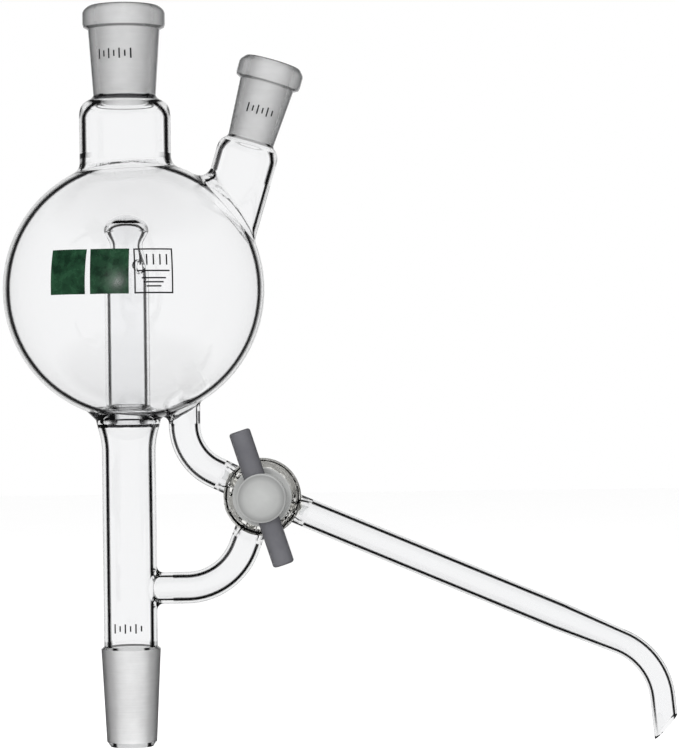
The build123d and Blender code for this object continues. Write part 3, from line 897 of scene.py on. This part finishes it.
class GlassBody:
    """All fused glass: reads the nodes, leaves out the welds and skins each piece."""

    WELD_GAP = 0.03 * MM
    TILT = (math.sin(math.radians(16.6)), 0.0, math.cos(math.radians(16.6)))
    # Dark colour painted at the grazing edges of frosted parts: painted shade
    FROSTED_EDGE_SHADE = (0.20, 0.205, 0.21)
    PARTS = (
        GlassPart("bottom_cone", 9.0, 6.4, edge=1.1, edge_shade=FROSTED_EDGE_SHADE),
        GlassPart("stem_tube", 8.7, 7.05, 0.6, 0.45, straight=True),
        GlassPart(
            "ring_seal", 10.5, 5.9, 1.6, 1.2,
            shade_bands=(ShadeBand(103.2, 104.4, 1.0), ShadeBand(106.2, 107.0, 0.8), ShadeBand(108.9, 110.5, 0.9, False)),
        ),
        GlassPart(
            "bulb", 42.3, 40.6, 0.5, 0.7, stub=11.0, ripple=0.05,
            shade_bands=(
                ShadeBand(104.0, 108.4, 1.0, False, True),
                ShadeBand(189.9, 191.9, 1.0, False, True),
            ),
        ),
        GlassPart("vapour_tube", 7.2, 5.9, 0.5, 0.4, straight=True),
        GlassPart("top_neck", 14.8, 13.4, 0.75, 0.6, straight=True, shade_bands=(ShadeBand(208.7, 210.7, 1.0),)),
        GlassPart(
            "top_socket", 12.0, 9.0, edge=1.6, edge_shade=FROSTED_EDGE_SHADE,
            shade_bands=(ShadeBand(232.0, 232.9, 0.85), ShadeBand(239.2, 239.9, 0.6, False)),
        ),
        GlassPart("side_neck", 10.1, 8.7, 0.7, 0.6, axis=TILT, shade_bands=(ShadeBand(198.1, 199.2, 0.8),)),
        GlassPart(
            "side_socket", 9.0, 6.8, edge=1.4, edge_shade=FROSTED_EDGE_SHADE, axis=TILT,
            shade_bands=(ShadeBand(218.0, 218.7, 0.75), ShadeBand(225.1, 225.8, 0.5, False)),
        ),
        GlassPart("drain_tube", 5.1, 3.9, 0.5, 0.4),
        GlassPart("return_tube", 5.1, 3.8, 0.55, 0.45),
        GlassPart("delivery_tube", 4.75, 3.8, 0.5, 0.4),
        GlassPart(
            "stopcock_barrel", 11.8, 9.4, 0.25, 0.2, stub=3.9, in_barrel=True,
            tint=(0.945, 0.94, 0.915), edge_shade=(0.42, 0.40, 0.34),
            ripple_scale=330.0, ripple=0.3,
            shade_bands=(ShadeBand(12.3, 14.6, 1.0, False, True, True),),
        ),
    )
    BULB_CENTRE = np.array((2.3, 0.0, 147.82)) * MM
    GROUND_BORES = ("top_socket", "side_socket")

    def __init__(self, frame: dict) -> None:
        """Reads every glass node.
        """
        self.frame = frame
        self.skins = {p.node: GlassSkin.read(frame["nodes"][p.node]) for p in self.PARTS}
        self.trees = {name: skin.tree() for name, skin in self.skins.items()}
        self.ground = GroundGlass().material()

    def _welded(self, name: str) -> np.ndarray:
        """Finds the faces of one node that lie on a face of its own or a neighbour's.

        Args:
            name: The node.

        Returns:
            True for each face inside a weld.
        """
        skin = self.skins[name]
        low, high = skin.points.min(0) - self.WELD_GAP, skin.points.max(0) + self.WELD_GAP
        welded = np.zeros(len(skin.faces), bool)
        for other, tree in self.trees.items():
            their = self.skins[other]
            if (their.points.min(0) > high).any() or (their.points.max(0) < low).any():
                continue
            box_low, box_high = their.points.min(0) - self.WELD_GAP, their.points.max(0) + self.WELD_GAP
            inside = ((skin.centres > box_low) & (skin.centres < box_high)).all(axis=1)
            for index in np.nonzero(inside & ~welded)[0]:
                found = tree.find_nearest_range(Vector(skin.centres[index]), self.WELD_GAP)
                facing = (np.dot(their.flats[face], skin.flats[index]) for _, _, face, _ in found)
                welded[index] = any(dot < -0.97 for dot in facing)
        return welded

    def _sides(self, part: GlassPart) -> np.ndarray:
        """Sorts faces into outside, bore and ground.

        Args:
            part: The glass part.

        Returns:
            A Side value for each face.
        """
        skin, tree = self.skins[part.node], self.trees[part.node]
        reach = 2.35 * part.bore * MM
        axis = np.array(part.axis)
        sides = np.zeros(len(skin.faces), int)
        for index, (centre, normal) in enumerate(zip(skin.centres, skin.flats)):
            start = Vector(centre + normal * 1e-5)
            hit = tree.ray_cast(start, Vector(normal), reach)
            across = normal - axis * np.dot(normal, axis)
            if hit[0] is None and part.straight and np.linalg.norm(across) > 0.6:
                hit = tree.ray_cast(start, Vector(across).normalized(), 1.2 * reach)
            if hit[0] is not None:
                sides[index] = Side.BORE.value
        if part.node in self.GROUND_BORES:
            sides[sides == Side.BORE.value] = Side.GROUND.value
        if part.stub:
            away = skin.centres - np.array(BARREL_CENTRE if part.in_barrel else self.BULB_CENTRE)
            if part.in_barrel:
                away[:, 1] = 0.0
            off = np.linalg.norm(away, axis=1) - part.bore * MM
            sides[(sides == Side.BORE.value) & (np.abs(off) > 0.6 * MM)] = Side.STUB.value
        return sides

    def _cone_ground(self, sides: np.ndarray) -> np.ndarray:
        """Marks the ground zone on the outside of the bottom cone.

        Args:
            sides: The cone's faces as first sorted.

        Returns:
            The faces with the ground zone marked.
        """
        skin = self.skins["bottom_cone"]
        low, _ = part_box("bottom_cone")
        height = skin.centres[:, 2] - low.z
        radius = np.hypot(skin.centres[:, 0], skin.centres[:, 1])
        zone = (height > 1.5 * MM) & (height < 31.7 * MM) & (radius > 7.9 * MM)
        sides[zone & (sides == Side.OUTSIDE.value)] = Side.GROUND.value
        return sides

    def build(self) -> list[bpy.types.Object]:
        """Skins every glass part.

        Returns:
            The new pieces.
        """
        made = []
        for part in self.PARTS:
            welded = self._welded(part.node)
            sides = self._sides(part)
            if part.node == "bottom_cone":
                sides = self._cone_ground(sides)
            made.append(self._piece(part, ~welded, sides))
            LOG.info("glass_%s: %d faces, %d in welds", part.node, len(welded), welded.sum())
        return made

    def _piece(self, part: GlassPart, kept: np.ndarray, sides: np.ndarray) -> bpy.types.Object:
        """Builds one piece from its kept faces.

        Args:
            part: The glass part.
            kept: True for each face that is kept.
            sides: A Side value for each face.

        Returns:
            The piece.
        """
        piece = self.skins[part.node].rebuild(f"glass_{part.node}", kept)
        finish = part.finish()
        finishes = [finish.outside(), finish.bore("bore", finish.lines), self.ground]
        if part.stub:
            finishes.append(finish.bore("stub", part.lines(part.stub)))
        for material in finishes:
            piece.data.materials.append(material)
        piece.data.polygons.foreach_set("material_index", sides[kept].astype(np.int32))
        attach(piece, part.node)
        return piece


# ------------------------------------------------------------------------------ other parts
class Stopcock:
    """The key, its handle and what holds it at the back."""

    FINISHES = {
        # Key's PTFE grey is set much darker than the washer's and nut's PTFE: painted shade
        "key_plug": Plastic(
            "ptfe_key_shaded", (0.37, 0.375, 0.37), (0.33, 0.335, 0.33), 0.5, limb_shade=0.3, dome_shade=True
        ),
        "handle_rod": Plastic(
            "grey_handle", (0.125, 0.125, 0.137), (0.10, 0.10, 0.112), 0.4, limb_shade=0.8
        ),
        "friction_washer": Plastic("ptfe_washer", (0.78, 0.78, 0.77), (0.70, 0.70, 0.69), 0.45),
        "tension_ring": Plastic("black_rubber", (0.03, 0.03, 0.03), (0.015, 0.015, 0.015), 0.7),
        "retaining_nut": Plastic("ptfe_nut", (0.70, 0.71, 0.71), (0.62, 0.63, 0.63), 0.45),
    }

    def __init__(self, frame: dict) -> None:
        """Keeps the frame's nodes.
        """
        self.nodes = frame["nodes"]

    def dress(self) -> None:
        """Gives each node its finish."""
        for name, finish in self.FINISHES.items():
            set_material(self.nodes[name], finish.material())
            LOG.info("%s: %s", name, finish.name)


class Marks:
    """Fired marks, skinned again without the faces that lie on the glass."""

    GREEN = Enamel("green_enamel", (0.003, 0.018, 0.008), (0.012, 0.055, 0.024))
    BLACK = Enamel("black_enamel", (0.006, 0.006, 0.008), (0.014, 0.013, 0.016), 0.35)

    ON = {
        "green_panel_left": "bulb",
        "green_panel_right": "bulb",
        "capacity_frame": "bulb",
        "top_joint_mark": "top_socket",
        "side_joint_mark": "side_socket",
        "stem_joint_mark": "stem_tube",
    }

    def __init__(self, frame: dict, glass: GlassBody) -> None:
        """Keeps the frame's nodes and the glass.

        Args:
            glass: The glass that the marks are fired on.
        """
        self.nodes = frame["nodes"]
        self.glass = glass

    def build(self) -> dict[str, bpy.types.Object]:
        """Skins each mark and gives it its enamel.

        Returns:
            The new pieces, by node.
        """
        green, black = self.GREEN.material(), self.BLACK.material()
        made = {}
        for name, wall in self.ON.items():
            skin = GlassSkin.read(self.nodes[name])
            kept = self._clear_of(skin, wall)
            piece = skin.rebuild(f"fired_{name}", kept)
            piece.data.materials.append(green if name.startswith("green") else black)
            attach(piece, name)
            made[name] = piece
            LOG.info("fired_%s: %d of %d faces", name, kept.sum(), len(kept))
        return made

    def _clear_of(self, skin: GlassSkin, wall: str) -> np.ndarray:
        """Finds a mark's faces that don't lie on the glass.

        Args:
            skin: The mark's skin.
            wall: The glass node under it.

        Returns:
            True for each face that stands clear.
        """
        tree, their = self.glass.trees[wall], self.glass.skins[wall]
        clear = np.ones(len(skin.faces), bool)
        for index, centre in enumerate(skin.centres):
            found = tree.find_nearest_range(Vector(centre), 0.04 * MM)
            facing = (np.dot(their.flats[face], skin.flats[index]) for _, _, face, _ in found)
            clear[index] = not any(dot < -0.9 for dot in facing)
        return clear


def set_material(target: bpy.types.Object, material: bpy.types.Material) -> None:
    """Puts one material in every slot of an object.

    Args:
        target: The object.
        material: The material.
    """
    if not target.material_slots:
        target.data.materials.append(material)
    for slot in target.material_slots:
        slot.material = material


# ----------------------------------------------------------------------------------- studio
@dataclass
class Studio:
    """Camera, soft light and pale floor."""

    eye: Vector = field(default_factory=lambda: Vector((0.0686, -0.94, 0.1192)))
    lens: float = 139.0
    roll: float = -0.69
    floor_drop: float = 0.16
    mirrored: tuple[float, float] = (0.06, 0.9)
    soft: Colour = (1.04, 1.04, 1.04)
    backdrop: Colour = (1.0, 1.0, 1.0)

    def camera(self) -> None:
        """Makes the camera, level and square to the front."""
        data = bpy.data.cameras.new("camera")
        data.lens = self.lens
        data.sensor_width = 36.0
        data.clip_start, data.clip_end = 0.05, 20.0
        camera = bpy.data.objects.new("camera", data)
        turn = Matrix.Rotation(math.radians(90), 4, "X") @ Matrix.Rotation(
            math.radians(self.roll), 4, "Z"
        )
        camera.matrix_world = Matrix.Translation(self.eye) @ turn
        bpy.context.scene.collection.objects.link(camera)
        bpy.context.scene.camera = camera

    def floor(self) -> None:
        """Makes the floor below the part."""
        size = 6.0
        rim = [(-size, -size, 0), (size, -size, 0), (size, size, 0), (-size, size, 0)]
        mesh = bpy.data.meshes.new("floor")
        mesh.from_pydata(rim, [], [(0, 1, 2, 3)])
        mesh.materials.append(FloorFinish().material())
        floor = bpy.data.objects.new("floor", mesh)
        floor.location = (0.0, 0.0, -self.floor_drop)
        floor.visible_transmission = False
        floor.visible_glossy = False
        bpy.context.scene.collection.objects.link(floor)

    def surroundings(self) -> None:
        """Makes a bright band all round that darkens overhead and underfoot."""
        world = bpy.data.worlds.new("studio")
        world.use_nodes = True
        world.node_tree.nodes.clear()
        graph = Graph(world.node_tree)
        place = graph.add("ShaderNodeTexCoord").outputs["Generated"]
        split = graph.add("ShaderNodeSeparateXYZ")
        graph.link(place, split.inputs[0])
        height = graph.math("MULTIPLY_ADD", split.outputs["Z"], 0.5)
        height.node.inputs[2].default_value = 0.5
        band = graph.ramp(
            height,
            [(0.02, 0.3), (0.12, 1.0), (0.79, 1.0), (0.88, 0.02)],
        )
        dark, bright = self.mirrored
        behind = graph.ramp(split.outputs["Y"], [(0.86, dark), (0.96, bright)])
        path = graph.add("ShaderNodeLightPath")
        soft, white = rgba(self.soft), rgba(self.backdrop)
        lit = graph.blend(path.outputs["Is Diffuse Ray"], behind, soft)
        through = graph.blend(path.outputs["Is Transmission Ray"], lit, band)
        seen = graph.blend(path.outputs["Is Camera Ray"], through, white)
        background = graph.add("ShaderNodeBackground")
        graph.link(seen, background.inputs["Color"])
        output = graph.add("ShaderNodeOutputWorld")
        graph.link(background.outputs[0], output.inputs["Surface"])
        bpy.context.scene.world = world

    def lamp(
        self, name: str, place: Vector, target: Vector, size: float, power: float
    ) -> bpy.types.Object:
        """Makes a soft square lamp that smooth surfaces don't mirror.

        Args:
            name: The lamp's name.
            place: Where it stands.
            target: The point it faces.
            size: Length of its side.
            power: Watts.

        Returns:
            The lamp.
        """
        data = bpy.data.lights.new(name, "AREA")
        data.shape, data.size, data.energy = "SQUARE", size, power
        lamp = bpy.data.objects.new(name, data)
        lamp.matrix_world = Matrix.Translation(place) @ (target - place).to_track_quat(
            "-Z", "Y"
        ).to_matrix().to_4x4()
        lamp.visible_transmission = False
        lamp.visible_glossy = False
        bpy.context.scene.collection.objects.link(lamp)
        return lamp

    def spark(self, targets: list[bpy.types.Object]) -> None:
        """Makes a small lamp that puts one highlight on a few pieces.

        Args:
            targets: The pieces that it lights.
        """
        lit = bpy.data.collections.new("sparked")
        for target in targets:
            lit.objects.link(target)
        lamp = self.lamp(
            "spark_lamp", Vector((-0.16, -0.88, 0.24)), Vector((0.0, 0.0, 0.15)), 0.07, 0.6
        )
        lamp.visible_glossy = True
        lamp.light_linking.receiver_collection = lit

    def build(self) -> None:
        """Makes the whole studio."""
        self.camera()
        self.floor()
        self.surroundings()
        middle = Vector((0.05, 0.0, 0.12))
        self.lamp("key_lamp", Vector((-0.35, -0.9, 0.75)), middle, 0.3, 5.0)
        self.lamp("overhead_lamp", Vector((0.1, 0.1, 1.6)), middle, 1.6, 18.0)
        scene = bpy.context.scene
        scene.view_settings.view_transform = "Standard"
        scene.view_settings.look = "None"
        scene.cycles.max_bounces = 40
        scene.cycles.transmission_bounces = 40
        scene.cycles.transparent_max_bounces = 40
        LOG.info("studio: camera, floor, three lamps")


def corners(bounds: tuple[Vector, Vector]) -> list[list[float]]:
    """Two corners of a box as plain lists."""
    return [list(bounds[0]), list(bounds[1])]


def main() -> None:
    """Builds every piece on the frame."""
    logging.basicConfig(level=logging.INFO, format="%(name)s: %(message)s")
    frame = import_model()
    studio = Studio()
    studio.build()
    glass = GlassBody(frame)
    glass.build()
    Stopcock(frame).dress()
    marks = Marks(frame, glass).build()
    studio.spark([marks["green_panel_left"], marks["green_panel_right"]])


if __name__ == "__main__":
    main()
